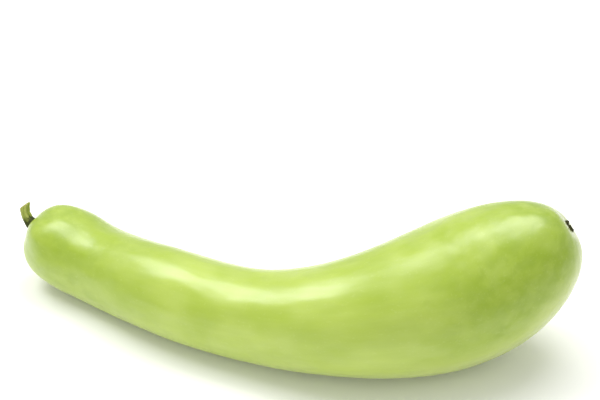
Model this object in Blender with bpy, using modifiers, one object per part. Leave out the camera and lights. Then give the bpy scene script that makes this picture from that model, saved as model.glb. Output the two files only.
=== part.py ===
"""Bottle gourd, as picked: a long, bent fruit lying on a table, with its stalk and its dried blossom.

Metres, +Z up. The fruit lies along X, its stalk at -X and its blossom end at +X, and the outside of
its bend faces -Y. The origin is on the table, below the middle of the gourd's box.
"""

from math import cos, exp, pi, radians, sin, tau
from random import Random

import bmesh
import bpy
import numpy as np
from mathutils import Matrix, Vector

MM = 0.001
GAP = 0.3 * MM  # clearance between pieces that touch

# Stations along the fruit's axis, stalk end first, in mm. The axis runs one flesh radius above the
# table, plus the lift, so the underside touches down where the lift is near 0.
#    x     y   lift  radius
STATIONS = (
    (-185, 88, 4.0, 34.5),  # stalk end, which a dome closes
    (-153, 69, 0.2, 28.0),  # first spot on the table
    (-90, 22, 0.3, 29.0),  # neck
    (-24, -10, -0.2, 31.0),  # outside of the bend, second spot on the table
    (42, -23, 1.8, 40.0),  # shoulder
    (101, -6, 1.8, 47.5),  # belly, third spot on the table
    (168, 7, 52.5, 37.5),  # blossom end, which turns up and a dome closes
)

# How each end closes: the dome's length, and its roundness, where 2 is an ellipse and more is blunter.
STALK_DOME = (45 * MM, 2.1)
BLOSSOM_DOME = (81 * MM, 2.8)

# The hollow in the middle of each end: its depth and its radius.
STALK_HOLLOW = (1.0 * MM, 7.5 * MM)
BLOSSOM_HOLLOW = (1.2 * MM, 8.0 * MM)

# Relief of the skin: lobes on the stalk's shoulder, and long low swells all over.
LOBE_COUNT = 5
LOBE_HEIGHT = 0.8 * MM
LOBE_CENTRE = 13 * MM  # from the stalk end, along the axis
LOBE_SPREAD = 11 * MM
SWELL_HEIGHT = 0.25 * MM
SWELL_LENGTHS = (380 * MM, 230 * MM)  # of one turn of the three-sided and of the two-sided swell

# Stalk. Its route is the (outwards, upwards) place of its centre, from where it meets the fruit.
STALK_ROUTE = ((-3.0, -1.2), (0.0, 0.0), (4.4, 2.6), (6.8, 7.0), (6.6, 17.2))  # mm
STALK_RADIUS = 3.1 * MM
STALK_FLARE = 2.2 * MM  # what it gains at the skin, and more below it
FLARE_LENGTH = 3.0 * MM
STALK_RIBS = 5
RIB_SHARE = 0.12  # height of a rib, as a share of the radius
CUT_TILT = radians(42)  # of the knife's cut, from level
CUT_DROP = 2.5 * MM  # from the route's end down to the middle of the cut

# Dried blossom: a low crumbled ring round the stub of the style.
BLOSSOM_RADIUS = 4.3 * MM
RING_HEIGHT = 1.6 * MM
STUB_HEIGHT = 0.9 * MM
RAGGED_SHARE = 0.35  # how much of the height is crumbled away in places
RAGGED_TURNS = (5, 8, 13, 19)  # waves round the ring that make it ragged
RAGGED_SEED = 7

RINGS, SIDES = 72, 40  # of the fruit
POLE_CROWDING = 0.75  # 0 spaces the rings evenly, towards 1 crowds them at the two ends
AXIS_POINTS = 160
STALK_POINTS = 15
RIB_SIDES = 6
BLOSSOM_SIDES = 40

SKIN_GREEN = "B4CE5A"
STALK_OLIVE = "77803A"
BLOSSOM_BROWN = "3C3B1F"


def natural_spline(knots, values, at):
    """Natural cubic spline through the values at the knots, read at each place in at."""
    step = np.diff(knots)[:, None]
    slope = np.diff(values, axis=0) / step
    count = len(knots)
    system = np.eye(count)
    right = np.zeros_like(values)
    for i in range(1, count - 1):
        before, after = step[i - 1, 0], step[i, 0]
        system[i, i - 1 : i + 2] = before, 2 * (before + after), after
        right[i] = 6 * (slope[i] - slope[i - 1])
    bend = np.linalg.solve(system, right)
    k = np.clip(np.searchsorted(knots, at) - 1, 0, count - 2)
    h = step[k]
    done = (at - knots[k])[:, None]
    left = h - done
    curved = (bend[k] * left**3 + bend[k + 1] * done**3) / (6 * h)
    from_left = (values[k] / h - bend[k] * h / 6) * left
    return curved + from_left + (values[k + 1] / h - bend[k + 1] * h / 6) * done


class SmoothPath:
    """A smooth line through points, with a width at each, read by the distance along it."""

    def __init__(self, points, widths):
        self.points = np.array(points, float)
        self.widths = np.array(widths, float)[:, None]
        chords = np.linalg.norm(np.diff(self.points, axis=0), axis=1)
        self.knots = np.concatenate([[0], np.cumsum(chords)])
        self.fine = np.linspace(0, self.knots[-1], 2000)
        steps = np.diff(natural_spline(self.knots, self.points, self.fine), axis=0)
        self.run = np.concatenate([[0], np.cumsum(np.linalg.norm(steps, axis=1))])
        self.length = self.run[-1]

    def place(self, distance):
        return natural_spline(self.knots, self.points, np.interp(distance, self.run, self.fine))

    def width(self, distance):
        return natural_spline(self.knots, self.widths, np.interp(distance, self.run, self.fine))[:, 0]

    def spread(self, count):
        """Places of count points spread evenly along the line."""
        return self.place(np.linspace(0, self.length, count))


def fruit_axis():
    plan = np.array([station[:2] for station in STATIONS], float)
    lift = np.array([station[2] for station in STATIONS])
    radius = np.array([station[3] for station in STATIONS])
    return SmoothPath(np.column_stack([plan, radius + lift]) * MM, radius * MM)


def dome(from_end, length, roundness):
    """Superellipse: 0 at the end of the fruit, 1 from where the dome meets the flesh."""
    share = np.clip(from_end / length, 0, 1)
    return (1 - (1 - share) ** roundness) ** (1 / roundness)


def fruit_profile(axis, grow):
    """(radius, height) points down the side of the straightened fruit, and grow outside it."""
    height = axis.length * (1 + np.cos(np.linspace(0, pi, 4000))) / 2
    radius = axis.width(height) * dome(height, *STALK_DOME) * dome(axis.length - height, *BLOSSOM_DOME)
    blossom_depth, blossom_width = BLOSSOM_HOLLOW
    stalk_depth, stalk_width = STALK_HOLLOW
    blossom_hollow = blossom_depth * np.exp(-((radius / blossom_width) ** 2))
    stalk_hollow = stalk_depth * np.exp(-((radius / stalk_width) ** 2))
    height = np.where(height > axis.length / 2, height - blossom_hollow, height + stalk_hollow)
    run = np.concatenate([[0], np.cumsum(np.hypot(np.diff(radius), np.diff(height)))])
    share = np.linspace(0, 1, RINGS)
    share = share - POLE_CROWDING * np.sin(tau * share) / tau
    radius, height = (np.interp(share * run[-1], run, line) for line in (radius, height))
    outwards = np.array([-np.gradient(height), np.gradient(radius)])
    outwards /= np.hypot(*outwards)
    outwards[:, [0, -1]] = (0, 0), (1, -1)
    return np.column_stack([radius, height]) + grow * outwards.T


def skin_relief(height, around):
    """How far the skin stands out of the turned shape, at a height up it and an angle around it."""
    near_stalk = exp(-(((height - LOBE_CENTRE) / LOBE_SPREAD) ** 2))
    lobes = LOBE_HEIGHT * near_stalk * cos(LOBE_COUNT * around)
    three_sided = cos(3 * around + tau * height / SWELL_LENGTHS[0])
    two_sided = cos(2 * around - tau * height / SWELL_LENGTHS[1])
    return lobes + SWELL_HEIGHT * (three_sided + two_sided)


def scene_object(name, data):
    obj = bpy.data.objects.new(name, data)
    bpy.context.scene.collection.objects.link(obj)
    return obj


def poly_curve(name, points, radii=None, cyclic=False):
    """Curve object of one straight-stepped spline, with a radius factor at each point."""
    data = bpy.data.curves.new(name, "CURVE")
    data.dimensions = "3D"
    data.use_deform_bounds = False
    spline = data.splines.new("POLY")
    spline.points.add(len(points) - 1)
    spline.use_cyclic_u = cyclic
    for knot, point, radius in zip(spline.points, points, [1] * len(points) if radii is None else radii):
        knot.co = (*point, 1)
        knot.radius = radius
    return scene_object(name, data)


def turned(name, profile, steps):
    """Profile of (radius, height) points, top first, turned about Z."""
    mesh = bpy.data.meshes.new(name)
    points = [(radius, 0, height) for radius, height in profile]
    mesh.from_pydata(points, [(i, i + 1) for i in range(len(points) - 1)], [])
    obj = scene_object(name, mesh)
    screw = obj.modifiers.new("Turn", "SCREW")
    screw.steps = screw.render_steps = steps
    screw.use_merge_vertices = True
    screw.merge_threshold = 0.001 * MM
    return applied(obj)


def applied(obj):
    """Mesh of what the object's modifiers or bevel make of it, caps welded on and all faces outwards."""
    name = obj.name
    graph = bpy.context.evaluated_depsgraph_get()
    mesh = bpy.data.meshes.new_from_object(obj.evaluated_get(graph))
    welded = bmesh.new()
    welded.from_mesh(mesh)
    bmesh.ops.remove_doubles(welded, verts=welded.verts, dist=0.001 * MM)
    bmesh.ops.recalc_face_normals(welded, faces=welded.faces)
    welded.to_mesh(mesh)
    welded.free()
    place = obj.matrix_world.copy()
    bpy.data.objects.remove(obj)
    solid = scene_object(name, mesh)
    solid.matrix_world = place
    return solid


def cut(obj, *cutters):
    """Cuts each cutter from the object."""
    for cutter in cutters:
        boolean = obj.modifiers.new(cutter.name, "BOOLEAN")
        boolean.operation = "DIFFERENCE"
        boolean.object = cutter
    return applied(obj)


def slab(name, place, towards, size=0.6):
    """A block whose lower face has its middle at place and looks against towards."""
    bpy.ops.mesh.primitive_cube_add(size=size)
    block = bpy.context.object
    block.name = name
    block.rotation_euler = towards.to_track_quat("Z", "Y").to_euler()
    block.location = place + towards * size / 2
    return block


def fruit_body(name, axis, grow=0.0):
    """The fruit, or a copy that stands grow outside it: turned straight, given its relief, then bent."""
    fruit = turned(name, fruit_profile(axis, grow), SIDES)
    shape = bmesh.new()
    shape.from_mesh(fruit.data)
    shape.normal_update()
    heights = [skin_relief(v.co.z, np.arctan2(v.co.y, v.co.x)) for v in shape.verts]
    fade = [1 - exp(-((v.co.xy.length / STALK_HOLLOW[1]) ** 2)) for v in shape.verts]
    for vertex, height, share in zip(shape.verts, heights, fade):
        vertex.co += vertex.normal * height * share
    shape.to_mesh(fruit.data)
    shape.free()
    guide = poly_curve("axis", axis.spread(AXIS_POINTS))
    guide.data.twist_mode = "Z_UP"
    bend = fruit.modifiers.new("Bend", "CURVE")
    bend.object = guide
    bend.deform_axis = "POS_Z"
    fruit = applied(fruit)
    bpy.data.objects.remove(guide)
    return fruit


def end_of_fruit(axis, far, hollow_depth):
    """Where the bottom of an end's hollow is, and the direction out of it."""
    end = axis.length if far else 0.0
    inside = end - MM if far else MM
    outer, inner = (Vector(point) for point in axis.place([end, inside]))
    outwards = (outer - inner).normalized()
    return outer - outwards * hollow_depth, outwards


def stalk(axis):
    """Five-ribbed stalk that flares into the fruit, bends up and ends in a slanted cut."""
    foot, outwards = end_of_fruit(axis, False, STALK_HOLLOW[0])
    level = outwards.to_2d().normalized().to_3d()
    points = [foot + (level * out + Vector((0, 0, up))) * MM for out, up in STALK_ROUTE]
    route = SmoothPath(points, [STALK_RADIUS] * len(points))
    distance = np.linspace(0, route.length, STALK_POINTS)
    skin = (points[1] - points[0]).length
    radius = STALK_RADIUS + STALK_FLARE * np.exp((skin - distance) / FLARE_LENGTH)
    around = np.linspace(0, tau, STALK_RIBS * RIB_SIDES, endpoint=False)
    ribbed = 1 + RIB_SHARE * np.cos(STALK_RIBS * around)
    outline = [(r * cos(a), r * sin(a), 0) for r, a in zip(ribbed, around)]
    section = poly_curve("section", outline, cyclic=True)
    tube = poly_curve("stem", route.place(distance), radius)
    tube.data.bevel_mode = "OBJECT"
    tube.data.bevel_object = section
    tube.data.use_fill_caps = True
    tube = applied(tube)
    bpy.data.objects.remove(section)
    tip = points[-1] - Vector((0, 0, CUT_DROP))
    knife = slab("knife", tip, Vector((0, 0, 1)) * cos(CUT_TILT) + level * sin(CUT_TILT))
    return tube, knife


def dried_blossom(axis):
    """Crumbled ring round the stub of the style, in the hollow of the blossom end."""
    profile = (
        (0, STUB_HEIGHT),
        (0.18 * BLOSSOM_RADIUS, 0.8 * STUB_HEIGHT),
        (0.3 * BLOSSOM_RADIUS, 0.35 * RING_HEIGHT),
        (0.5 * BLOSSOM_RADIUS, 0.4 * RING_HEIGHT),
        (0.68 * BLOSSOM_RADIUS, 0.9 * RING_HEIGHT),
        (0.85 * BLOSSOM_RADIUS, RING_HEIGHT),
        (0.97 * BLOSSOM_RADIUS, 0.7 * RING_HEIGHT),
        (BLOSSOM_RADIUS, -RING_HEIGHT),
        (0, -RING_HEIGHT),
    )
    blossom = turned("blossom_remnant", profile, BLOSSOM_SIDES)
    draw = Random(RAGGED_SEED)
    waves = [(turns, draw.uniform(0, tau)) for turns in RAGGED_TURNS]
    for vertex in blossom.data.vertices:
        if vertex.co.z > 0:
            around = np.arctan2(vertex.co.y, vertex.co.x)
            wave = sum(cos(turns * around + phase) for turns, phase in waves) / len(waves)
            vertex.co.z *= 1 + RAGGED_SHARE * wave
    foot, outwards = end_of_fruit(axis, True, BLOSSOM_HOLLOW[0])
    blossom.data.transform(Matrix.Translation(foot) @ outwards.to_track_quat("Z", "Y").to_matrix().to_4x4())
    return blossom


def linear(code):
    """Linear colour of an sRGB hex code."""
    channels = (int(code[i : i + 2], 16) / 255 for i in (0, 2, 4))
    return [c / 12.92 if c <= 0.04045 else ((c + 0.055) / 1.055) ** 2.4 for c in channels] + [1]


def finish(obj, collection, colour, roughness):
    """Gives a piece its material and smooth shading, and puts it in the gourd's collection."""
    material = bpy.data.materials.new(obj.name)
    material.use_nodes = True
    shader = material.node_tree.nodes["Principled BSDF"]
    shader.inputs["Base Color"].default_value = linear(colour)
    shader.inputs["Roughness"].default_value = roughness
    shader.inputs["Metallic"].default_value = 0
    obj.data.materials.append(material)
    obj.data.shade_smooth()
    obj.data.set_sharp_from_angle(angle=radians(40))
    bpy.context.scene.collection.objects.unlink(obj)
    collection.objects.link(obj)


def centre_on_table(pieces):
    """Moves the pieces so that the origin lies below the middle of their box."""
    corners = np.array([vertex.co for piece in pieces for vertex in piece.data.vertices])
    middle = (corners.min(axis=0) + corners.max(axis=0)) / 2
    for piece in pieces:
        piece.data.transform(Matrix.Translation((-middle[0], -middle[1], 0)))


def main():
    for obj in list(bpy.data.objects):
        bpy.data.objects.remove(obj)
    collection = bpy.data.collections.new("bottle_gourd")
    bpy.context.scene.collection.children.link(collection)
    axis = fruit_axis()
    table = slab("table", Vector(), Vector((0, 0, -1)))
    clearance = fruit_body("clearance", axis, GAP)
    stem, knife = stalk(axis)
    gourd = cut(fruit_body("gourd", axis), table)
    stem = cut(stem, clearance, knife)
    blossom = cut(dried_blossom(axis), clearance)
    for cutter in (table, clearance, knife):
        bpy.data.objects.remove(cutter)
    finish(gourd, collection, SKIN_GREEN, 0.35)
    finish(stem, collection, STALK_OLIVE, 0.7)
    finish(blossom, collection, BLOSSOM_BROWN, 0.9)
    centre_on_table([gourd, stem, blossom])


main()
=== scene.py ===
"""Bottle gourd on a pale table, laid out as a Blender add-on and run as a script.

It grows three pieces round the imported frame: the waxy skin, the five-ribbed stalk and the dried
blossom. Each is a surface worked out with numpy on a grid, in metres, in the frame's own place.
"""

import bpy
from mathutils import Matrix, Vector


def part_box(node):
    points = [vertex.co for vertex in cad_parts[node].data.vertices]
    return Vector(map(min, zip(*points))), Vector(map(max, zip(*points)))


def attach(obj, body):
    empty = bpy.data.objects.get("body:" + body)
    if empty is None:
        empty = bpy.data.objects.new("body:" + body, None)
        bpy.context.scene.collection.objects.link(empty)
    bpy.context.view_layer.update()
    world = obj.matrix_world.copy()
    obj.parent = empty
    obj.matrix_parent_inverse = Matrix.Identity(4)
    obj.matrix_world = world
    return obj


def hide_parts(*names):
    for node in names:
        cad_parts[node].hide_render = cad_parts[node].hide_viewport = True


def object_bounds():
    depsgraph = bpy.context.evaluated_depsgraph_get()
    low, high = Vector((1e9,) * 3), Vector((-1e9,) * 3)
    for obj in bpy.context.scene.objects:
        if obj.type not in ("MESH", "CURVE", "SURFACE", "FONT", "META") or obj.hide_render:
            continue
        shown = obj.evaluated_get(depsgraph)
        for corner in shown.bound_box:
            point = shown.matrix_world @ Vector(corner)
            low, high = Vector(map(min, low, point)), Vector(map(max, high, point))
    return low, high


bl_info = {
    "name": "Bottle Gourd",
    "version": (1, 0, 0),
    "blender": (4, 5, 0),
    "location": "View3D > Sidebar > Gourd",
    "description": "Grows a bottle gourd with its stalk and dried blossom, and sets a studio round it",
    "category": "Add Mesh",
}

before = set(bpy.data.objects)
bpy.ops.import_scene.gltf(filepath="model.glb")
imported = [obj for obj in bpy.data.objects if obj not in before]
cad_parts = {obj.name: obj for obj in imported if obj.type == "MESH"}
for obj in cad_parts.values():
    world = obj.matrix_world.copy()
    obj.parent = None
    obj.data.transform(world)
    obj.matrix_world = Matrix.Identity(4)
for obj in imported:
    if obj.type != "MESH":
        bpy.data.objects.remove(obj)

from math import cos, pi, radians, sin, tau

import bpy
import numpy as np
from bpy.props import FloatProperty, FloatVectorProperty, IntProperty, PointerProperty
from mathutils import Vector

CAD_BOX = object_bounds()
MM = 0.001
UP = np.array([0.0, 0.0, 1.0])

# Stations along the fruit's axis, stalk end first, in mm, as in the frame's own solid. The axis runs
# one flesh radius above the table, plus the lift.
#    x     y   lift  radius
STATIONS = (
    (-185, 88, 4.0, 34.5),  # stalk end, which a dome closes
    (-153, 69, 0.2, 28.0),  # first spot on the table
    (-90, 22, 0.3, 29.0),  # neck
    (-24, -10, -0.2, 31.0),  # outside of the bend, second spot on the table
    (42, -23, 1.8, 40.0),  # shoulder
    (101, -6, 1.8, 47.5),  # belly, third spot on the table
    (168, 7, 52.5, 37.5),  # blossom end, which turns up and a dome closes
)

# How each end closes: the dome's length, and its roundness, where 2 is an ellipse and more is blunter.
STALK_DOME = (45 * MM, 2.1)
BLOSSOM_DOME = (81 * MM, 2.8)

# Steps that a path and a profile are measured in before they are read.
PATH_STEPS = 2000
PROFILE_STEPS = 6000

# The hollow in the middle of each end: its depth and its radius.
STALK_HOLLOW = (1.0 * MM, 7.5 * MM)
BLOSSOM_HOLLOW = (1.2 * MM, 8.0 * MM)

# Lobes round the stalk: how many, how far from the end they are highest, and how soon they fade.
LOBE_COUNT = 5
LOBE_CENTRE = 13 * MM
LOBE_SPREAD = 11 * MM

# The long swells turn once round the fruit in these lengths of it.
SWELL_LENGTHS = (380 * MM, 230 * MM)

# The skin's unevenness: how long its dents and its ripples are, the ripples' height as a share of the
# dents', and how much longer both are along the fruit than around it.
DENT_LENGTHS = (14 * MM, 34 * MM)
RIPPLE_LENGTHS = (5 * MM, 11 * MM)
RIPPLE_SHARE = 0.25
DENT_STRETCH = 2.2

# The stalk: its route as (outwards, upwards) places of its centre from where it meets the fruit, in
# mm, how soon its flare fades, its ribs, and its knots, which are stretched along it.
STALK_ROUTE = ((-3.0, -1.2), (0.0, 0.0), (4.4, 2.6), (6.8, 7.0), (6.6, 17.2))
FLARE_LENGTH = 3.0 * MM
STALK_RIBS = 5
RIB_OVERTONE = 0.25
KNOT_LENGTHS = (1.5 * MM, 5 * MM)
KNOT_HEIGHT = 0.13 * MM
KNOT_STRETCH = 2
STALK_RINGS = 90
STALK_SIDES = 120

# The slanted cut: its tilt from level, how far its middle is below the route's end, how high its
# rounded edge stands and over what share of the way in, how deep its pith sinks, and its steps.
CUT_TILT = radians(42)
CUT_DROP = 2.5 * MM
CUT_EDGE = 0.9 * MM
EDGE_SHARE = 0.3
CUT_PITH = 0.6 * MM
CUT_RINGS = 16
NEWTON_STEPS = 6

# The dried blossom: where its ring runs and how wide it and the stub are, as shares of the radius, the
# lobes of its outline, how much of its height is torn away, and its crumbs.
RING_PLACE = 0.78
RING_SPREAD = 0.2
STUB_SPREAD = 0.24
PETALS = 5
PETAL_SHARE = 0.13
TORN_LENGTHS = (1.6 * MM, 4 * MM)
TORN_MIDDLE = 0.75
TORN_DEPTH = 0.32
TORN_LIMITS = (0.15, 1.3)
CRUMB_LENGTHS = (0.5 * MM, 1.3 * MM)
CRUMB_HEIGHT = 0.17 * MM
BLOSSOM_RINGS = 50
BLOSSOM_SIDES = 140

# The lamps: width and depth, and the place that each shines from towards the middle of the table.
KEY_LAMP = (0.52, 0.42), (-0.56, 0.17, 0.92)
TOP_LAMP = (0.7, 0.6), (0.22, 0.3, 1.0)
FILL_LAMP = (1.6, 0.6), (-0.3, -1.4, 0.45)

# The floor is a disc with this many sides.
FLOOR_SIDES = 96


def natural_spline(knots, values, at):
    """Natural cubic spline: through the values at the knots, its bend 0 at both ends, read at each at."""
    step = np.diff(knots)[:, None]
    slope = np.diff(values, axis=0) / step
    count = len(knots)
    system = np.eye(count)
    right = np.zeros_like(values)
    for i in range(1, count - 1):
        before, after = step[i - 1, 0], step[i, 0]
        system[i, i - 1 : i + 2] = before, 2 * (before + after), after
        right[i] = 6 * (slope[i] - slope[i - 1])
    bend = np.linalg.solve(system, right)
    k = np.clip(np.searchsorted(knots, at) - 1, 0, count - 2)
    h = step[k]
    done = (at - knots[k])[:, None]
    left = h - done
    curved = (bend[k] * left**3 + bend[k + 1] * done**3) / (6 * h)
    from_left = (values[k] / h - bend[k] * h / 6) * left
    return curved + from_left + (values[k + 1] / h - bend[k + 1] * h / 6) * done


class SmoothPath:
    """A smooth line through points, with a width at each, read by the distance along it."""

    def __init__(self, points, widths):
        self.points = np.array(points, float)
        self.widths = np.array(widths, float)[:, None]
        chords = np.linalg.norm(np.diff(self.points, axis=0), axis=1)
        self.knots = np.concatenate([[0], np.cumsum(chords)])
        self.fine = np.linspace(0, self.knots[-1], PATH_STEPS)
        steps = np.diff(natural_spline(self.knots, self.points, self.fine), axis=0)
        self.run = np.concatenate([[0], np.cumsum(np.linalg.norm(steps, axis=1))])
        self.length = self.run[-1]

    def place(self, distance):
        """Points at the distances, carried straight on past either end."""
        inside = np.clip(distance, 0, self.length)
        points = natural_spline(self.knots, self.points, np.interp(inside, self.run, self.fine))
        return points + (distance - inside)[:, None] * self.direction(inside)

    def direction(self, distance):
        """Unit direction of the line: the difference of two close points over its length."""
        nudge = 0.2 * MM
        middle = np.clip(distance, nudge, self.length - nudge)
        spots = (np.interp(middle + way, self.run, self.fine) for way in (-nudge, nudge))
        low, high = (natural_spline(self.knots, self.points, spot) for spot in spots)
        step = high - low
        return step / np.linalg.norm(step, axis=1)[:, None]

    def width(self, distance):
        """The width at the distances."""
        return natural_spline(self.knots, self.widths, np.interp(distance, self.run, self.fine))[:, 0]


def waves(place, lengths, seed, count=24):
    """Smooth random swells: the sum of count plane waves, their directions and starts drawn from seed.

    place is (..., 3) in metres, and a wave's length lies between the two lengths.
    """
    draw = np.random.default_rng(seed)
    total = np.zeros(place.shape[:-1])
    for _ in range(count):
        direction = draw.normal(size=3)
        direction /= np.linalg.norm(direction)
        length = draw.uniform(*lengths)
        total += np.sin(place @ direction * tau / length + draw.uniform(0, tau))
    return total / np.sqrt(count / 2)


def bell(way, spread):
    """Bell curve: e to the minus square of the way over the spread."""
    return np.exp(-((way / spread) ** 2))


def wrapped(around, radius, along):
    """Points of a straight turned piece: the radius at an angle round its axis, and the way along it."""
    around, radius, along = np.broadcast_arrays(around, radius, along)
    return np.stack([radius * np.cos(around), radius * np.sin(around), along], axis=-1)


def dome(from_end, length, roundness):
    """Superellipse: 0 at the end of the fruit, 1 from where the dome meets the flesh."""
    share = np.clip(from_end / length, 0, 1)
    return (1 - (1 - share) ** roundness) ** (1 / roundness)


def fruit_axis():
    """The fruit's centreline through the stations, in the stations' own place."""
    plan = np.array([station[:2] for station in STATIONS], float)
    lift = np.array([station[2] for station in STATIONS])
    radius = np.array([station[3] for station in STATIONS])
    return SmoothPath(np.column_stack([plan, radius + lift]) * MM, radius * MM)


def fruit_profile(axis, rings, crowding):
    """Side of the straightened fruit, from the blossom end down: radius, height and the way out of it.

    The flesh radius times both domes, each end pushed in by a bell-shaped hollow, read at rings that
    crowd towards the two ends.
    """
    height = axis.length * (1 + np.cos(np.linspace(0, pi, PROFILE_STEPS))) / 2
    radius = axis.width(height) * dome(height, *STALK_DOME) * dome(axis.length - height, *BLOSSOM_DOME)
    blossom_depth, blossom_width = BLOSSOM_HOLLOW
    stalk_depth, stalk_width = STALK_HOLLOW
    pushed_down = height - blossom_depth * bell(radius, blossom_width)
    pushed_up = height + stalk_depth * bell(radius, stalk_width)
    height = np.where(height > axis.length / 2, pushed_down, pushed_up)
    run = np.concatenate([[0], np.cumsum(np.hypot(np.diff(radius), np.diff(height)))])
    share = np.linspace(0, 1, rings)
    share = share - crowding * np.sin(tau * share) / tau
    radius, height = (np.interp(share * run[-1], run, line) for line in (radius, height))
    outwards = np.array([-np.gradient(height), np.gradient(radius)])
    return radius, height, outwards / np.hypot(*outwards)


def skin_relief(around, radius, height, sizes):
    """How far the skin stands out of the turned shape.

    Five lobes that fade away from the stalk, a slow three-sided and two-sided swell that turn with
    height, and fine random unevenness, all faded out at the very middle of each end.
    """
    lobes = sizes.lobe_height * bell(height - LOBE_CENTRE, LOBE_SPREAD) * np.cos(LOBE_COUNT * around)
    three_sided = np.cos(3 * around + tau * height / SWELL_LENGTHS[0])
    two_sided = np.cos(2 * around - tau * height / SWELL_LENGTHS[1])
    swells = sizes.swell_height * (three_sided + two_sided)
    place = wrapped(around, radius, height / DENT_STRETCH)
    dents = waves(place, DENT_LENGTHS, seed=3) + RIPPLE_SHARE * waves(place, RIPPLE_LENGTHS, seed=4)
    return (lobes + swells + sizes.dent_height * dents) * (1 - bell(radius, STALK_HOLLOW[1]))


def bent(axis, straight):
    """Carries straight points onto the axis: x goes to its level side, y to its upper side, z along it."""
    across, up, height = straight.reshape(-1, 3).T
    along = axis.direction(height)
    side = np.cross(UP, along)
    side /= np.linalg.norm(side, axis=1)[:, None]
    top = np.cross(along, side)
    return (axis.place(height) + across[:, None] * side + up[:, None] * top).reshape(straight.shape)


def fruit_points(axis, sizes):
    """Grid of the skin, and the same grid straightened.

    The profile turned round the axis, moved along its way out by the relief, and bent.
    """
    radius, height, outwards = (line[..., None] for line in fruit_profile(axis, sizes.rings, sizes.crowding))
    around = np.linspace(0, tau, sizes.sides, endpoint=False)
    relief = skin_relief(around, radius, height, sizes)
    far = radius + outwards[0] * relief
    far[[0, -1]] = 0
    straight = wrapped(around, far, height + outwards[1] * relief)
    return bent(axis, straight), straight


def seat_of(grid):
    """Shift from the stations' place to the frame's: the middle of the fruit's box onto its node's."""
    node = np.mean(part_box("gourd"), axis=0)
    middle = (grid.min(axis=(0, 1)) + grid.max(axis=(0, 1))) / 2
    return (node - middle) * (1, 1, 0)


def end_of_fruit(axis, at_blossom, hollow_depth):
    """Where the bottom of an end's hollow is, and the unit direction out of it."""
    ends = np.array([axis.length, axis.length - MM]) if at_blossom else np.array([0, MM])
    outer, inner = axis.place(ends)
    outwards = (outer - inner) / np.linalg.norm(outer - inner)
    return outer - outwards * hollow_depth, outwards


def stalk_wall(route, skin_at, across, around, distance, sizes):
    """Side of the stalk: the route's point plus a ribbed radius, square to the route, and its straight place.

    The radius is the stalk's own, plus a flare that fades by e each flare length past the skin. Each
    rib is a cosine sharpened by its overtone, and random waves make knots.
    """
    shape = np.broadcast_shapes(around.shape, distance.shape)
    around, distance = (np.broadcast_to(a, shape).ravel() for a in (around, distance))
    ribs = np.cos(STALK_RIBS * around) + RIB_OVERTONE * np.cos(2 * STALK_RIBS * around)
    ribbed = 1 + sizes.rib_share * ribs
    place = wrapped(around, sizes.stalk_radius, distance / KNOT_STRETCH)
    knots = KNOT_HEIGHT * waves(place, KNOT_LENGTHS, seed=7)
    flare = sizes.stalk_flare * np.exp((skin_at - distance) / FLARE_LENGTH)
    radius = (sizes.stalk_radius + flare) * ribbed + knots
    side = np.cross(across, route.direction(distance))
    out = np.cos(around)[:, None] * side + np.sin(around)[:, None] * across
    wall = route.place(distance) + radius[:, None] * out
    straight = wrapped(around, sizes.stalk_radius * ribbed, distance)
    return wall.reshape(*shape, 3), straight.reshape(*shape, 3)


def stalk_points(axis, sizes):
    """Grid of the stalk from its cut down, the same grid straightened, and how far each ring is into the cut.

    The wall ends on a slanted plane, found by Newton steps. From there the cut rises over a round
    edge, a quarter sine, and sinks by half a cosine to its pith.
    """
    foot, outwards = end_of_fruit(axis, False, STALK_HOLLOW[0])
    level = outwards * (1, 1, 0) / np.hypot(outwards[0], outwards[1])
    points = [foot + (level * out + UP * rise) * MM for out, rise in STALK_ROUTE]
    route = SmoothPath(points, [sizes.stalk_radius] * len(points))
    skin_at = np.linalg.norm(points[1] - points[0])
    across = np.cross(UP, level)
    knife = UP * cos(CUT_TILT) + level * sin(CUT_TILT)
    rim_at = points[-1] - UP * CUT_DROP - knife * CUT_EDGE
    around = np.linspace(0, tau, STALK_SIDES, endpoint=False)
    end = np.full(STALK_SIDES, route.length)
    for _ in range(NEWTON_STEPS):
        wall, _ = stalk_wall(route, skin_at, across, around, end, sizes)
        end = end - ((wall - rim_at) @ knife) / (route.direction(end) @ knife)
    reach = np.linspace(0, 1, STALK_RINGS)[:, None]
    wall, straight = stalk_wall(route, skin_at, across, around, reach * end, sizes)
    share = np.linspace(0, 1, CUT_RINGS + 1)[1:]
    edge = CUT_EDGE * np.sin(np.clip(share / EDGE_SHARE, 0, 1) * pi / 2)
    pith = CUT_PITH * (1 - np.cos(np.clip((share - EDGE_SHARE) / (1 - EDGE_SHARE), 0, 1) * pi)) / 2
    inwards = share[:, None, None] * (wall[-1].mean(axis=0) - wall[-1])
    cut = wall[-1] + inwards + (edge - pith)[:, None, None] * knife
    shrink = (1 - share)[:, None, None] * (1, 1, 0) + UP
    into_cut = np.concatenate([np.zeros(STALK_RINGS), share])
    grid = np.concatenate([wall, cut])[::-1]
    straight = np.concatenate([straight, straight[-1] * shrink])[::-1]
    return grid, straight, np.repeat(into_cut[::-1], STALK_SIDES).reshape(grid.shape[:2])


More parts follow.
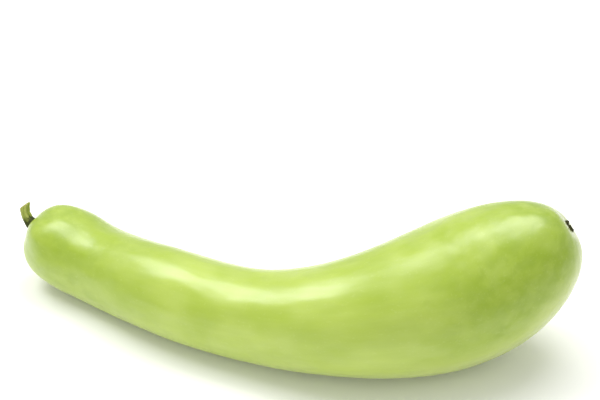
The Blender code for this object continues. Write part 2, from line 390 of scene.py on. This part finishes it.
def blossom_points(axis, sizes):
    """Grid of the dried blossom, and the same grid straightened.

    Over the radius, the height is a bell at the ring plus a bell at the stub, times random waves that
    tear it, plus crumbs. The outline swells in five torn lobes, and a flat foot closes it underneath.
    """
    foot, outwards = end_of_fruit(axis, True, BLOSSOM_HOLLOW[0])
    around = np.linspace(0, tau, BLOSSOM_SIDES, endpoint=False)
    share = np.linspace(0, 1, BLOSSOM_RINGS)[:, None]
    place = wrapped(around, share * sizes.blossom_radius, 0)
    torn = waves(place, TORN_LENGTHS, seed=11)
    ring = sizes.ring_height * bell(share - RING_PLACE, RING_SPREAD)
    stub = sizes.stub_height * bell(share, STUB_SPREAD)
    crumbs = CRUMB_HEIGHT * waves(place, CRUMB_LENGTHS, seed=12)
    height = (ring + stub) * np.clip(TORN_MIDDLE + TORN_DEPTH * torn, *TORN_LIMITS) + crumbs
    outline = 1 + PETAL_SHARE * share * (np.cos(PETALS * around) + torn) / 2
    top = wrapped(around, share * sizes.blossom_radius * outline, height)
    under = top[-1:] * (1, 1, 0) - UP * sizes.ring_height
    straight = np.concatenate([top, under, under * UP])
    turn = np.array(Vector(outwards).to_track_quat("Z", "Y").to_matrix())
    return straight @ turn.T + foot, straight


def closed_rings(grid):
    """Points of a (rings, sides, 3) grid whose first and last ring each close on one point."""
    between_ends = grid[1:-1].reshape(-1, grid.shape[-1])
    return np.concatenate([grid[:1].mean(axis=1), between_ends, grid[-1:].mean(axis=1)])


def ring_faces(rings, sides):
    """Quads between the rings of such a grid, and the triangles round its two end points."""
    ring, side = np.meshgrid(np.arange(rings - 3), np.arange(sides), indexing="ij")
    row = 1 + ring * sides
    here, beside = row + side, row + (side + 1) % sides
    quads = np.stack([here, here + sides, beside + sides, beside], axis=-1).reshape(-1, 4)
    side, beside = np.arange(sides), (np.arange(sides) + 1) % sides
    last_row = 1 + (rings - 3) * sides
    last_point = last_row + sides
    first = np.stack([0 * side, side + 1, beside + 1], axis=-1)
    last = np.stack([0 * side + last_point, last_row + beside, last_row + side], axis=-1)
    return quads, np.concatenate([first, last])


def piece_from(name, grid, seat, **values):
    """Smooth mesh object of a grid that closes on a point at both ends, with values kept at its vertices."""
    quads, tris = ring_faces(*grid.shape[:2])
    corners = np.concatenate([quads.ravel(), tris.ravel()]).astype(np.int32)
    starts = np.concatenate([4 * np.arange(len(quads)), 4 * len(quads) + 3 * np.arange(len(tris))])
    points = closed_rings(grid) + seat
    points[:, 2] = np.maximum(points[:, 2], 0)
    mesh = bpy.data.meshes.new(name)
    mesh.vertices.add(len(points))
    mesh.vertices.foreach_set("co", points.astype(np.float32).ravel())
    mesh.loops.add(len(corners))
    mesh.loops.foreach_set("vertex_index", corners)
    mesh.polygons.add(len(starts))
    mesh.polygons.foreach_set("loop_start", starts.astype(np.int32))
    mesh.update(calc_edges=True)
    mesh.shade_smooth()
    for value_name, value in values.items():
        value = closed_rings(value.reshape(*grid.shape[:2], -1)).astype(np.float32)
        kind, field = ("FLOAT_VECTOR", "vector") if value.shape[1] == 3 else ("FLOAT", "value")
        mesh.attributes.new(value_name, kind, "POINT").data.foreach_set(field, value.ravel())
    obj = bpy.data.objects.new(name, mesh)
    bpy.context.scene.collection.objects.link(obj)
    return obj


def stand_for(piece, node):
    """Lets the piece ride on the body and stand for the node, whose own part it hides."""
    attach(piece, "root")
    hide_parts(node)


def linear(code):
    """Linear colour of an sRGB hex code, with full alpha."""
    channels = (int(code[i : i + 2], 16) / 255 for i in (0, 2, 4))
    return [c / 12.92 if c <= 0.04045 else ((c + 0.055) / 1.055) ** 2.4 for c in channels] + [1.0]


def add_node(tree, kind, settings=None, links=None, output=None):
    """Adds a node: sets its attributes and sockets by name, and links other nodes' outputs into it.

    Sockets out of use are passed over, so a Mix node's A and B are the ones of its data type. It gives
    the output of that name, or the first one in use.
    """
    node = tree.nodes.new(kind)

    def found(sockets, name):
        return next(s for s in sockets if s.enabled and name in (None, s.name, s.identifier))

    for name, value in (settings or {}).items():
        if hasattr(node, name):
            setattr(node, name, value)
        else:
            found(node.inputs, name).default_value = value
    for name, source in (links or {}).items():
        tree.links.new(source, found(node.inputs, name))
    return next(s for s in node.outputs if s.enabled and output in (None, s.name))


def new_material(name, finish):
    """A material with its shader's sockets set to the finish, and the place on the straightened piece."""
    material = bpy.data.materials.new(name)
    material.use_nodes = True
    tree = material.node_tree
    shader = tree.nodes["Principled BSDF"]
    for socket, value in finish.items():
        shader.inputs[socket].default_value = value
    place = add_node(tree, "ShaderNodeAttribute", {"attribute_name": "straight"}, output="Vector")
    return material, tree, shader, place


def per(across, along=None):
    """Settings of a Mapping that make a pattern's unit this many metres across and along the piece."""
    return {"Scale": (1 / across, 1 / across, 1 / (along or across))}


def between(low, high, to_low=0.0, to_high=1.0):
    """Settings of a Map Range that turn low..high smoothly into to_low..to_high."""
    limits = {"From Min": low, "From Max": high, "To Min": to_low, "To Max": to_high}
    return {"interpolation_type": "SMOOTHSTEP", **limits}


def gourd_skin(colours, fruit_length):
    """Young bottle gourd skin: thin wax over pale green flesh.

    The wax gives a broad soft sheen that breaks up in patches. The green drifts in clouds and faint
    lengthwise streaks, is deepest on the full end, with painted shade on both ends and a painted lighter top,
    is palest underneath, where bounce light from the floor is painted, and round the blossom, and
    carries fine pale freckles and a few rubbed specks.
    """
    finish = {
        "IOR": 1.45,
        "Specular IOR Level": 0.45,
        "Subsurface Weight": 0.15,
        "Subsurface Radius": (1.0, 1.0, 0.3),
        "Subsurface Scale": 3 * MM,
        "Coat Weight": 0.8,
        "Coat Roughness": 0.27,
        "Coat IOR": 1.45,
    }
    material, tree, shader, place = new_material("waxy_gourd_skin", finish)
    colour_mix = {"data_type": "RGBA"}
    axes = {axis: add_node(tree, "ShaderNodeSeparateXYZ", {}, {"Vector": place}, axis) for axis in "YZ"}

    # Clouds of deeper and lighter green, 28 mm wide, with streaks 4 mm wide in them.
    at_clouds = add_node(tree, "ShaderNodeMapping", per(28 * MM, 42 * MM), {"Vector": place})
    clouds = add_node(tree, "ShaderNodeTexNoise", {"Scale": 1.0, "Detail": 2.0}, {"Vector": at_clouds})
    at_streaks = add_node(tree, "ShaderNodeMapping", per(4 * MM, 60 * MM), {"Vector": place})
    streaks = add_node(tree, "ShaderNodeTexNoise", {"Scale": 1.0, "Detail": 3.0}, {"Vector": at_streaks})
    cloud_share = add_node(tree, "ShaderNodeMapRange", between(0.3, 0.7, 0, 0.8), {"Value": clouds})
    streak_share = add_node(tree, "ShaderNodeMapRange", between(0.35, 0.65, 0, 0.12), {"Value": streaks})
    tone = add_node(tree, "ShaderNodeMath", {}, {"Value": cloud_share, "Value_001": streak_share})
    ends = {**colour_mix, "A": colours.skin_deep, "B": colours.skin_light}
    green = add_node(tree, "ShaderNodeMix", ends, {"Factor": tone})

    # Blotches of a deeper green, about 11 mm, on the full end and less on the slim one: partly mottling and
    # partly painted shade on both ends. The painted shade leaves out the underside and fades on top of the
    # full end, which is painted lighter there.
    at_blotches = add_node(tree, "ShaderNodeMapping", per(11 * MM, 15 * MM), {"Vector": place})
    ragged = {"Scale": 1.0, "Detail": 4.0, "Distortion": 0.2}
    blotches = add_node(tree, "ShaderNodeTexNoise", ragged, {"Vector": at_blotches})
    blotch_share = add_node(tree, "ShaderNodeMapRange", between(0.36, 0.64, 0.5, 1), {"Value": blotches})
    full = between(0.6 * fruit_length, 0.85 * fruit_length)
    full_share = add_node(tree, "ShaderNodeMapRange", full, {"Value": axes["Z"]})
    slim = between(0.4 * fruit_length, 0.12 * fruit_length, 0, 0.8)
    slim_end_shade = add_node(tree, "ShaderNodeMapRange", slim, {"Value": axes["Z"]})
    shade_above_underside = add_node(tree, "ShaderNodeMapRange", between(-22 * MM, -2 * MM), {"Value": axes["Y"]})
    painted_light_top = add_node(tree, "ShaderNodeMapRange", between(26 * MM, 44 * MM, 1, 0.35), {"Value": axes["Y"]})
    end_shade_share = add_node(
        tree, "ShaderNodeMath", {"operation": "MAXIMUM"}, {"Value": full_share, "Value_001": slim_end_shade}
    )
    blotches_and_shade = add_node(
        tree, "ShaderNodeMath", {"operation": "MULTIPLY"}, {"Value": blotch_share, "Value_001": end_shade_share}
    )
    blotches_and_shade = add_node(
        tree, "ShaderNodeMath", {"operation": "MULTIPLY"}, {"Value": blotches_and_shade, "Value_001": shade_above_underside}
    )
    blotches_and_shade = add_node(
        tree, "ShaderNodeMath", {"operation": "MULTIPLY"}, {"Value": blotches_and_shade, "Value_001": painted_light_top}
    )
    green = add_node(
        tree, "ShaderNodeMix", {**colour_mix, "B": colours.full_blotch_and_shade}, {"Factor": blotches_and_shade, "A": green}
    )

    # Paler underneath: painted bounce light and reflection from the pale floor, with an uneven edge.
    edge = add_node(tree, "ShaderNodeMapRange", between(0.3, 0.7, -9 * MM, 9 * MM), {"Value": clouds})
    low_side = add_node(tree, "ShaderNodeMath", {}, {"Value": axes["Y"], "Value_001": edge})
    painted_bounce = add_node(tree, "ShaderNodeMapRange", between(-4 * MM, -34 * MM, 0, 0.5), {"Value": low_side})
    green = add_node(
        tree, "ShaderNodeMix", {**colour_mix, "B": colours.pale_freckle_and_bounce}, {"Factor": painted_bounce, "A": green}
    )

    # Fine pale freckles, drawn 1.5 mm wide so that they show.
    at_freckles = add_node(tree, "ShaderNodeMapping", per(1.5 * MM, 2.0 * MM), {"Vector": place})
    freckles = add_node(tree, "ShaderNodeTexNoise", {"Scale": 1.0, "Detail": 1.0}, {"Vector": at_freckles})
    freckled = add_node(tree, "ShaderNodeMapRange", between(0.6, 0.78, 0, 0.1), {"Value": freckles})
    green = add_node(
        tree, "ShaderNodeMix", {**colour_mix, "B": colours.pale_freckle_and_bounce}, {"Factor": freckled, "A": green}
    )

    # Rubbed specks about 1 mm across, one to about 30 mm of skin.
    at_specks = add_node(tree, "ShaderNodeMapping", per(27 * MM, 33 * MM), {"Vector": place})
    specks = add_node(tree, "ShaderNodeTexVoronoi", {"Scale": 1.0}, {"Vector": at_specks})
    speckled = add_node(tree, "ShaderNodeMapRange", between(0.016, 0.03, 0.6, 0), {"Value": specks})
    green = add_node(
        tree, "ShaderNodeMix", {**colour_mix, "B": colours.speck}, {"Factor": speckled, "A": green}
    )

    # Grey-green round the dried blossom.
    blossom_way = add_node(
        tree,
        "ShaderNodeVectorMath",
        {"operation": "DISTANCE", "Vector_001": (0, 0, fruit_length)},
        {"Vector": place},
        "Value",
    )
    faded = add_node(tree, "ShaderNodeMapRange", between(4 * MM, 16 * MM, 0.7, 0), {"Value": blossom_way})
    green = add_node(
        tree, "ShaderNodeMix", {**colour_mix, "B": colours.skin_faded}, {"Factor": faded, "A": green}
    )
    tree.links.new(green, shader.inputs["Base Color"])

    # The wax is rubbed thinner in patches, which breaks up the sheen.
    at_rubs = add_node(tree, "ShaderNodeMapping", per(9 * MM, 16 * MM), {"Vector": place})
    rubs = add_node(tree, "ShaderNodeTexNoise", {"Scale": 1.0, "Detail": 4.0}, {"Vector": at_rubs})
    roughness = add_node(tree, "ShaderNodeMapRange", between(0.32, 0.68, 0.3, 0.46), {"Value": rubs})
    tree.links.new(roughness, shader.inputs["Roughness"])
    thinned = add_node(tree, "ShaderNodeMapRange", between(0.38, 0.62, 0.5, 1), {"Value": rubs})
    tree.links.new(thinned, shader.inputs["Coat Weight"])

    # Pores about 1 mm across.
    at_pores = add_node(tree, "ShaderNodeMapping", per(0.9 * MM, 1.3 * MM), {"Vector": place})
    pores = add_node(tree, "ShaderNodeTexNoise", {"Scale": 1.0, "Detail": 2.0}, {"Vector": at_pores})
    bump = add_node(tree, "ShaderNodeBump", {"Strength": 0.25, "Distance": 0.08 * MM}, {"Height": pores})
    tree.links.new(bump, shader.inputs["Normal"])
    return material


def stalk_bark(colours):
    """Drying gourd stalk: fibrous ribs, dark olive where it leaves the fruit and yellow-green at the cut."""
    finish = {"Roughness": 0.68, "IOR": 1.45, "Specular IOR Level": 0.4}
    material, tree, shader, place = new_material("fibrous_stalk", finish)
    colour_mix = {"data_type": "RGBA"}

    # The green lightens upwards from the fruit, along an uneven line.
    height = add_node(tree, "ShaderNodeSeparateXYZ", {}, {"Vector": place}, "Z")
    at_patches = add_node(tree, "ShaderNodeMapping", per(2.5 * MM, 4 * MM), {"Vector": place})
    patches = add_node(tree, "ShaderNodeTexNoise", {"Scale": 1.0, "Detail": 3.0}, {"Vector": at_patches})
    drift = add_node(tree, "ShaderNodeMapRange", between(0.3, 0.7, -2.5 * MM, 2.5 * MM), {"Value": patches})
    drifted = add_node(tree, "ShaderNodeMath", {}, {"Value": height, "Value_001": drift})
    lighter = add_node(tree, "ShaderNodeMapRange", between(7 * MM, 15 * MM), {"Value": drifted})
    ends = {**colour_mix, "A": colours.stalk_foot, "B": colours.stalk_tip}
    green = add_node(tree, "ShaderNodeMix", ends, {"Factor": lighter})

    # Towards the cut, ribs are paler than the furrows between them.
    flat = add_node(tree, "ShaderNodeMapping", {"Scale": (1, 1, 0)}, {"Vector": place})
    spread = add_node(tree, "ShaderNodeVectorMath", {"operation": "LENGTH"}, {"Vector": flat}, "Value")
    on_rib = add_node(tree, "ShaderNodeMapRange", between(2.8 * MM, 3.5 * MM, 0, 0.6), {"Value": spread})
    paler_rib = add_node(
        tree, "ShaderNodeMath", {"operation": "MULTIPLY"}, {"Value": on_rib, "Value_001": lighter}
    )
    green = add_node(
        tree, "ShaderNodeMix", {**colour_mix, "B": colours.stalk_fibre}, {"Factor": paler_rib, "A": green}
    )

    # Fibres about 0.5 mm wide along the stalk.
    at_fibres = add_node(tree, "ShaderNodeMapping", per(0.5 * MM, 5 * MM), {"Vector": place})
    fibres = add_node(tree, "ShaderNodeTexNoise", {"Scale": 1.0, "Detail": 4.0}, {"Vector": at_fibres})
    fibred = add_node(tree, "ShaderNodeMapRange", between(0.45, 0.7, 0, 0.5), {"Value": fibres})
    green = add_node(
        tree, "ShaderNodeMix", {**colour_mix, "B": colours.stalk_foot}, {"Factor": fibred, "A": green}
    )

    # The cut has dried: a brown edge round paler pith.
    into_cut = add_node(tree, "ShaderNodeAttribute", {"attribute_name": "into_cut"}, output="Fac")
    browned = add_node(tree, "ShaderNodeMapRange", between(0.02, 0.15, 0, 0.8), {"Value": into_cut})
    green = add_node(
        tree, "ShaderNodeMix", {**colour_mix, "B": colours.cut_edge}, {"Factor": browned, "A": green}
    )
    paled = add_node(tree, "ShaderNodeMapRange", between(0.2, 0.45, 0, 0.85), {"Value": into_cut})
    green = add_node(
        tree, "ShaderNodeMix", {**colour_mix, "B": colours.cut_pith}, {"Factor": paled, "A": green}
    )
    tree.links.new(green, shader.inputs["Base Color"])
    bump = add_node(tree, "ShaderNodeBump", {"Strength": 0.6, "Distance": 0.2 * MM}, {"Height": fibres})
    tree.links.new(bump, shader.inputs["Normal"])
    return material


def dried_petals(colours):
    """Dried blossom: dark crumbled tissue with paler dusty crumbs."""
    finish = {"Roughness": 0.92, "Specular IOR Level": 0.2}
    material, tree, shader, place = new_material("dried_blossom_tissue", finish)

    # Crumbs about 0.8 mm across, paler on top.
    at_crumbs = add_node(tree, "ShaderNodeMapping", per(0.8 * MM), {"Vector": place})
    crumbs = add_node(tree, "ShaderNodeTexNoise", {"Scale": 1.0, "Detail": 4.0}, {"Vector": at_crumbs})
    dusted = add_node(tree, "ShaderNodeMapRange", between(0.48, 0.72), {"Value": crumbs})
    ends = {"data_type": "RGBA", "A": colours.blossom_dark, "B": colours.blossom_dust}
    brown = add_node(tree, "ShaderNodeMix", ends, {"Factor": dusted})
    tree.links.new(brown, shader.inputs["Base Color"])
    bump = add_node(tree, "ShaderNodeBump", {"Strength": 0.8, "Distance": 0.3 * MM}, {"Height": crumbs})
    tree.links.new(bump, shader.inputs["Normal"])
    return material


def painted_board(colour):
    """Matt painted board, which gives one even pale ground."""
    finish = {"Base Color": colour, "Roughness": 0.9, "Specular IOR Level": 0.1}
    return new_material("matt_painted_board", finish)[0]


def colour(name, code, words):
    """Colour property from an sRGB hex code."""
    settings = {"subtype": "COLOR", "size": 4, "min": 0, "max": 1}
    return FloatVectorProperty(name=name, description=words, default=linear(code), **settings)


def length(name, default, words):
    """Length property in metres."""
    return FloatProperty(name=name, description=words, default=default, precision=5, unit="LENGTH")


def power(name, default, words):
    """Power property of a lamp, in watts."""
    return FloatProperty(name=name, description=words, default=default, unit="POWER")


class GourdSizes(bpy.types.PropertyGroup):
    rings: IntProperty(name="Rings", description="Rings of the skin along the fruit", default=380, min=40)
    sides: IntProperty(name="Sides", description="Sides of the skin around the fruit", default=220, min=20)
    crowding: FloatProperty(name="Crowding", description="How far the rings crowd to the ends", default=0.6)
    lobe_height: length("Lobes", 0.8 * MM, "Height of the lobes round the stalk")
    swell_height: length("Swells", 0.25 * MM, "Height of the long low swells")
    dent_height: length("Dents", 0.12 * MM, "Height of the fine unevenness")
    stalk_radius: length("Stalk radius", 3.1 * MM, "Radius of the stalk")
    stalk_flare: length("Stalk flare", 2.2 * MM, "What the stalk's radius gains at the skin")
    rib_share: FloatProperty(name="Ribs", description="Height of a rib over the radius", default=0.12)
    blossom_radius: length("Blossom radius", 4.3 * MM, "Radius of the dried blossom")
    ring_height: length("Blossom ring", 1.6 * MM, "Height of the dried ring")
    stub_height: length("Style stub", 0.9 * MM, "Height of the stub in its middle")


class GourdColours(bpy.types.PropertyGroup):
    skin_deep: colour("Deep green", "9BB139", "Skin in its deeper clouds")
    skin_light: colour("Light green", "AFC257", "Skin in its lighter clouds")
    # Deeper green of the full end's blotches, which also carries painted shade on both ends.
    full_blotch_and_shade: colour("Full end", "8AA321", "Blotches of the full end")
    # Pale green of the freckles, which also paints bounce light underneath.
    pale_freckle_and_bounce: colour("Pale green", "CEDA88", "Skin underneath, and its freckles")
    skin_faded: colour("Faded green", "B7BD86", "Skin round the dried blossom")
    speck: colour("Specks", "6B7431", "Rubbed specks")
    stalk_foot: colour("Stalk foot", "353D08", "Stalk where it leaves the fruit")
    stalk_tip: colour("Stalk tip", "9AA548", "Stalk at its cut")
    stalk_fibre: colour("Stalk fibres", "B9BC6A", "Pale fibres on the stalk's ribs")
    cut_edge: colour("Cut edge", "8A7F45", "Dried edge of the cut")
    cut_pith: colour("Cut pith", "C9C58C", "Pith in the cut")
    blossom_dark: colour("Blossom", "2F3016", "Dried blossom")
    blossom_dust: colour("Blossom dust", "77773F", "Paler crumbs on the blossom")


class GourdStage(bpy.types.PropertyGroup):
    floor_colour: colour("Floor", "F6F6F4", "Colour of the floor")
    floor_radius: length("Floor radius", 4.0, "Radius of the floor")
    elevation: FloatProperty(
        name="Elevation", description="How far the camera looks down", default=radians(32), unit="ROTATION"
    )
    distance: length("Distance", 1.0667, "From the camera to the middle of the view")
    lens: FloatProperty(name="Lens", default=100, description="Focal length of the camera, in mm")
    aim_across: length("Aim across", 6.7 * MM, "Aim, right of the middle")
    aim_beyond: length("Aim beyond", 10.8 * MM, "Aim, behind the middle")
    aim_height: length("Aim height", 93.8 * MM, "Aim, above the table")
    key_power: power("Key light", 5.2, "Light above, to the left")
    top_power: power("Top light", 6.8, "Light above, to the right")
    fill_power: power("Fill light", 5.0, "Light low in front")
    sky: FloatProperty(name="Sky", default=0.68, description="Strength of the even light from all round")


def settings():
    """The scene's sizes, colours and stage."""
    scene = bpy.context.scene
    return scene.gourd_sizes, scene.gourd_colours, scene.gourd_stage


class GOURD_OT_grow_skin(bpy.types.Operator):
    """Grow the waxy skin over the fruit"""

    bl_idname = "gourd.grow_skin"
    bl_label = "Grow Skin"

    def execute(self, context):
        sizes, colours, _ = settings()
        axis = fruit_axis()
        grid, straight = fruit_points(axis, sizes)
        skin = piece_from("skin", grid, seat_of(grid), straight=straight)
        skin.data.materials.append(gourd_skin(colours, axis.length))
        stand_for(skin, "gourd")
        return {"FINISHED"}


class GOURD_OT_grow_stalk(bpy.types.Operator):
    """Grow the five-ribbed stalk out of the slim end"""

    bl_idname = "gourd.grow_stalk"
    bl_label = "Grow Stalk"

    def execute(self, context):
        sizes, colours, _ = settings()
        axis = fruit_axis()
        seat = seat_of(fruit_points(axis, sizes)[0])
        grid, straight, into_cut = stalk_points(axis, sizes)
        stalk = piece_from("stalk", grid, seat, straight=straight, into_cut=into_cut)
        stalk.data.materials.append(stalk_bark(colours))
        stand_for(stalk, "stem")
        return {"FINISHED"}


class GOURD_OT_dry_blossom(bpy.types.Operator):
    """Dry the blossom in the hollow of the full end"""

    bl_idname = "gourd.dry_blossom"
    bl_label = "Dry Blossom"

    def execute(self, context):
        sizes, colours, _ = settings()
        axis = fruit_axis()
        seat = seat_of(fruit_points(axis, sizes)[0])
        grid, straight = blossom_points(axis, sizes)
        blossom = piece_from("blossom", grid, seat, straight=straight)
        blossom.data.materials.append(dried_petals(colours))
        stand_for(blossom, "blossom_remnant")
        return {"FINISHED"}


def area_light(name, power, size, place):
    """Rectangular soft light that faces the middle of the table."""
    lamp = bpy.data.lights.new(name, "AREA")
    lamp.shape = "RECTANGLE"
    lamp.size, lamp.size_y = size
    lamp.energy = power
    light = bpy.data.objects.new(name, lamp)
    light.location = place
    light.rotation_euler = (-Vector(place)).to_track_quat("-Z", "Y").to_euler()
    bpy.context.scene.collection.objects.link(light)
    return light


class GOURD_OT_set_stage(bpy.types.Operator):
    """Set the pale floor, the soft light and the camera"""

    bl_idname = "gourd.set_stage"
    bl_label = "Set Stage"

    def execute(self, context):
        _, _, stage = settings()
        scene = context.scene
        circle = {"vertices": FLOOR_SIDES, "radius": stage.floor_radius, "fill_type": "NGON"}
        bpy.ops.mesh.primitive_circle_add(**circle)
        floor = context.object
        floor.name = "floor"
        floor.data.materials.append(painted_board(stage.floor_colour))
        scene.world = bpy.data.worlds.new("studio")
        scene.world.use_nodes = True
        sky = scene.world.node_tree.nodes["Background"]
        sky.inputs["Color"].default_value = (1, 1, 1, 1)
        sky.inputs["Strength"].default_value = stage.sky
        area_light("key", stage.key_power, *KEY_LAMP)
        area_light("top", stage.top_power, *TOP_LAMP)
        fill = area_light("fill", stage.fill_power, *FILL_LAMP)
        fill.visible_glossy = False
        lens = bpy.data.cameras.new("camera")
        lens.lens = stage.lens
        camera = bpy.data.objects.new("camera", lens)
        low, high = CAD_BOX
        aim = (low + high) / 2 + Vector((stage.aim_across, stage.aim_beyond, 0))
        aim.z = stage.aim_height
        back = Vector((0, -cos(stage.elevation), sin(stage.elevation)))
        camera.location = aim + back * stage.distance
        camera.rotation_euler = (-back).to_track_quat("-Z", "Y").to_euler()
        scene.collection.objects.link(camera)
        scene.camera = camera
        scene.view_settings.view_transform = "Standard"
        return {"FINISHED"}


class GOURD_PT_panel(bpy.types.Panel):
    """Gourd tools in the 3D view's sidebar"""

    bl_label = "Bottle Gourd"
    bl_idname = "GOURD_PT_panel"
    bl_space_type = "VIEW_3D"
    bl_region_type = "UI"
    bl_category = "Gourd"

    def draw(self, context):
        for operator in OPERATORS:
            self.layout.operator(operator.bl_idname)
        for group in GROUPS:
            values = getattr(context.scene, group)
            box = self.layout.box()
            for name in values.__annotations__:
                box.prop(values, name)


GROUPS = {"gourd_sizes": GourdSizes, "gourd_colours": GourdColours, "gourd_stage": GourdStage}
OPERATORS = (GOURD_OT_grow_skin, GOURD_OT_grow_stalk, GOURD_OT_dry_blossom, GOURD_OT_set_stage)


def register():
    for name, group in GROUPS.items():
        bpy.utils.register_class(group)
        setattr(bpy.types.Scene, name, PointerProperty(type=group))
    for kind in (*OPERATORS, GOURD_PT_panel):
        bpy.utils.register_class(kind)


def unregister():
    for kind in (GOURD_PT_panel, *reversed(OPERATORS)):
        bpy.utils.unregister_class(kind)
    for name, group in GROUPS.items():
        delattr(bpy.types.Scene, name)
        bpy.utils.unregister_class(group)


def main():
    register()
    bpy.ops.gourd.grow_skin()
    bpy.ops.gourd.grow_stalk()
    bpy.ops.gourd.dry_blossom()
    bpy.ops.gourd.set_stage()


if __name__ == "__main__":
    main()
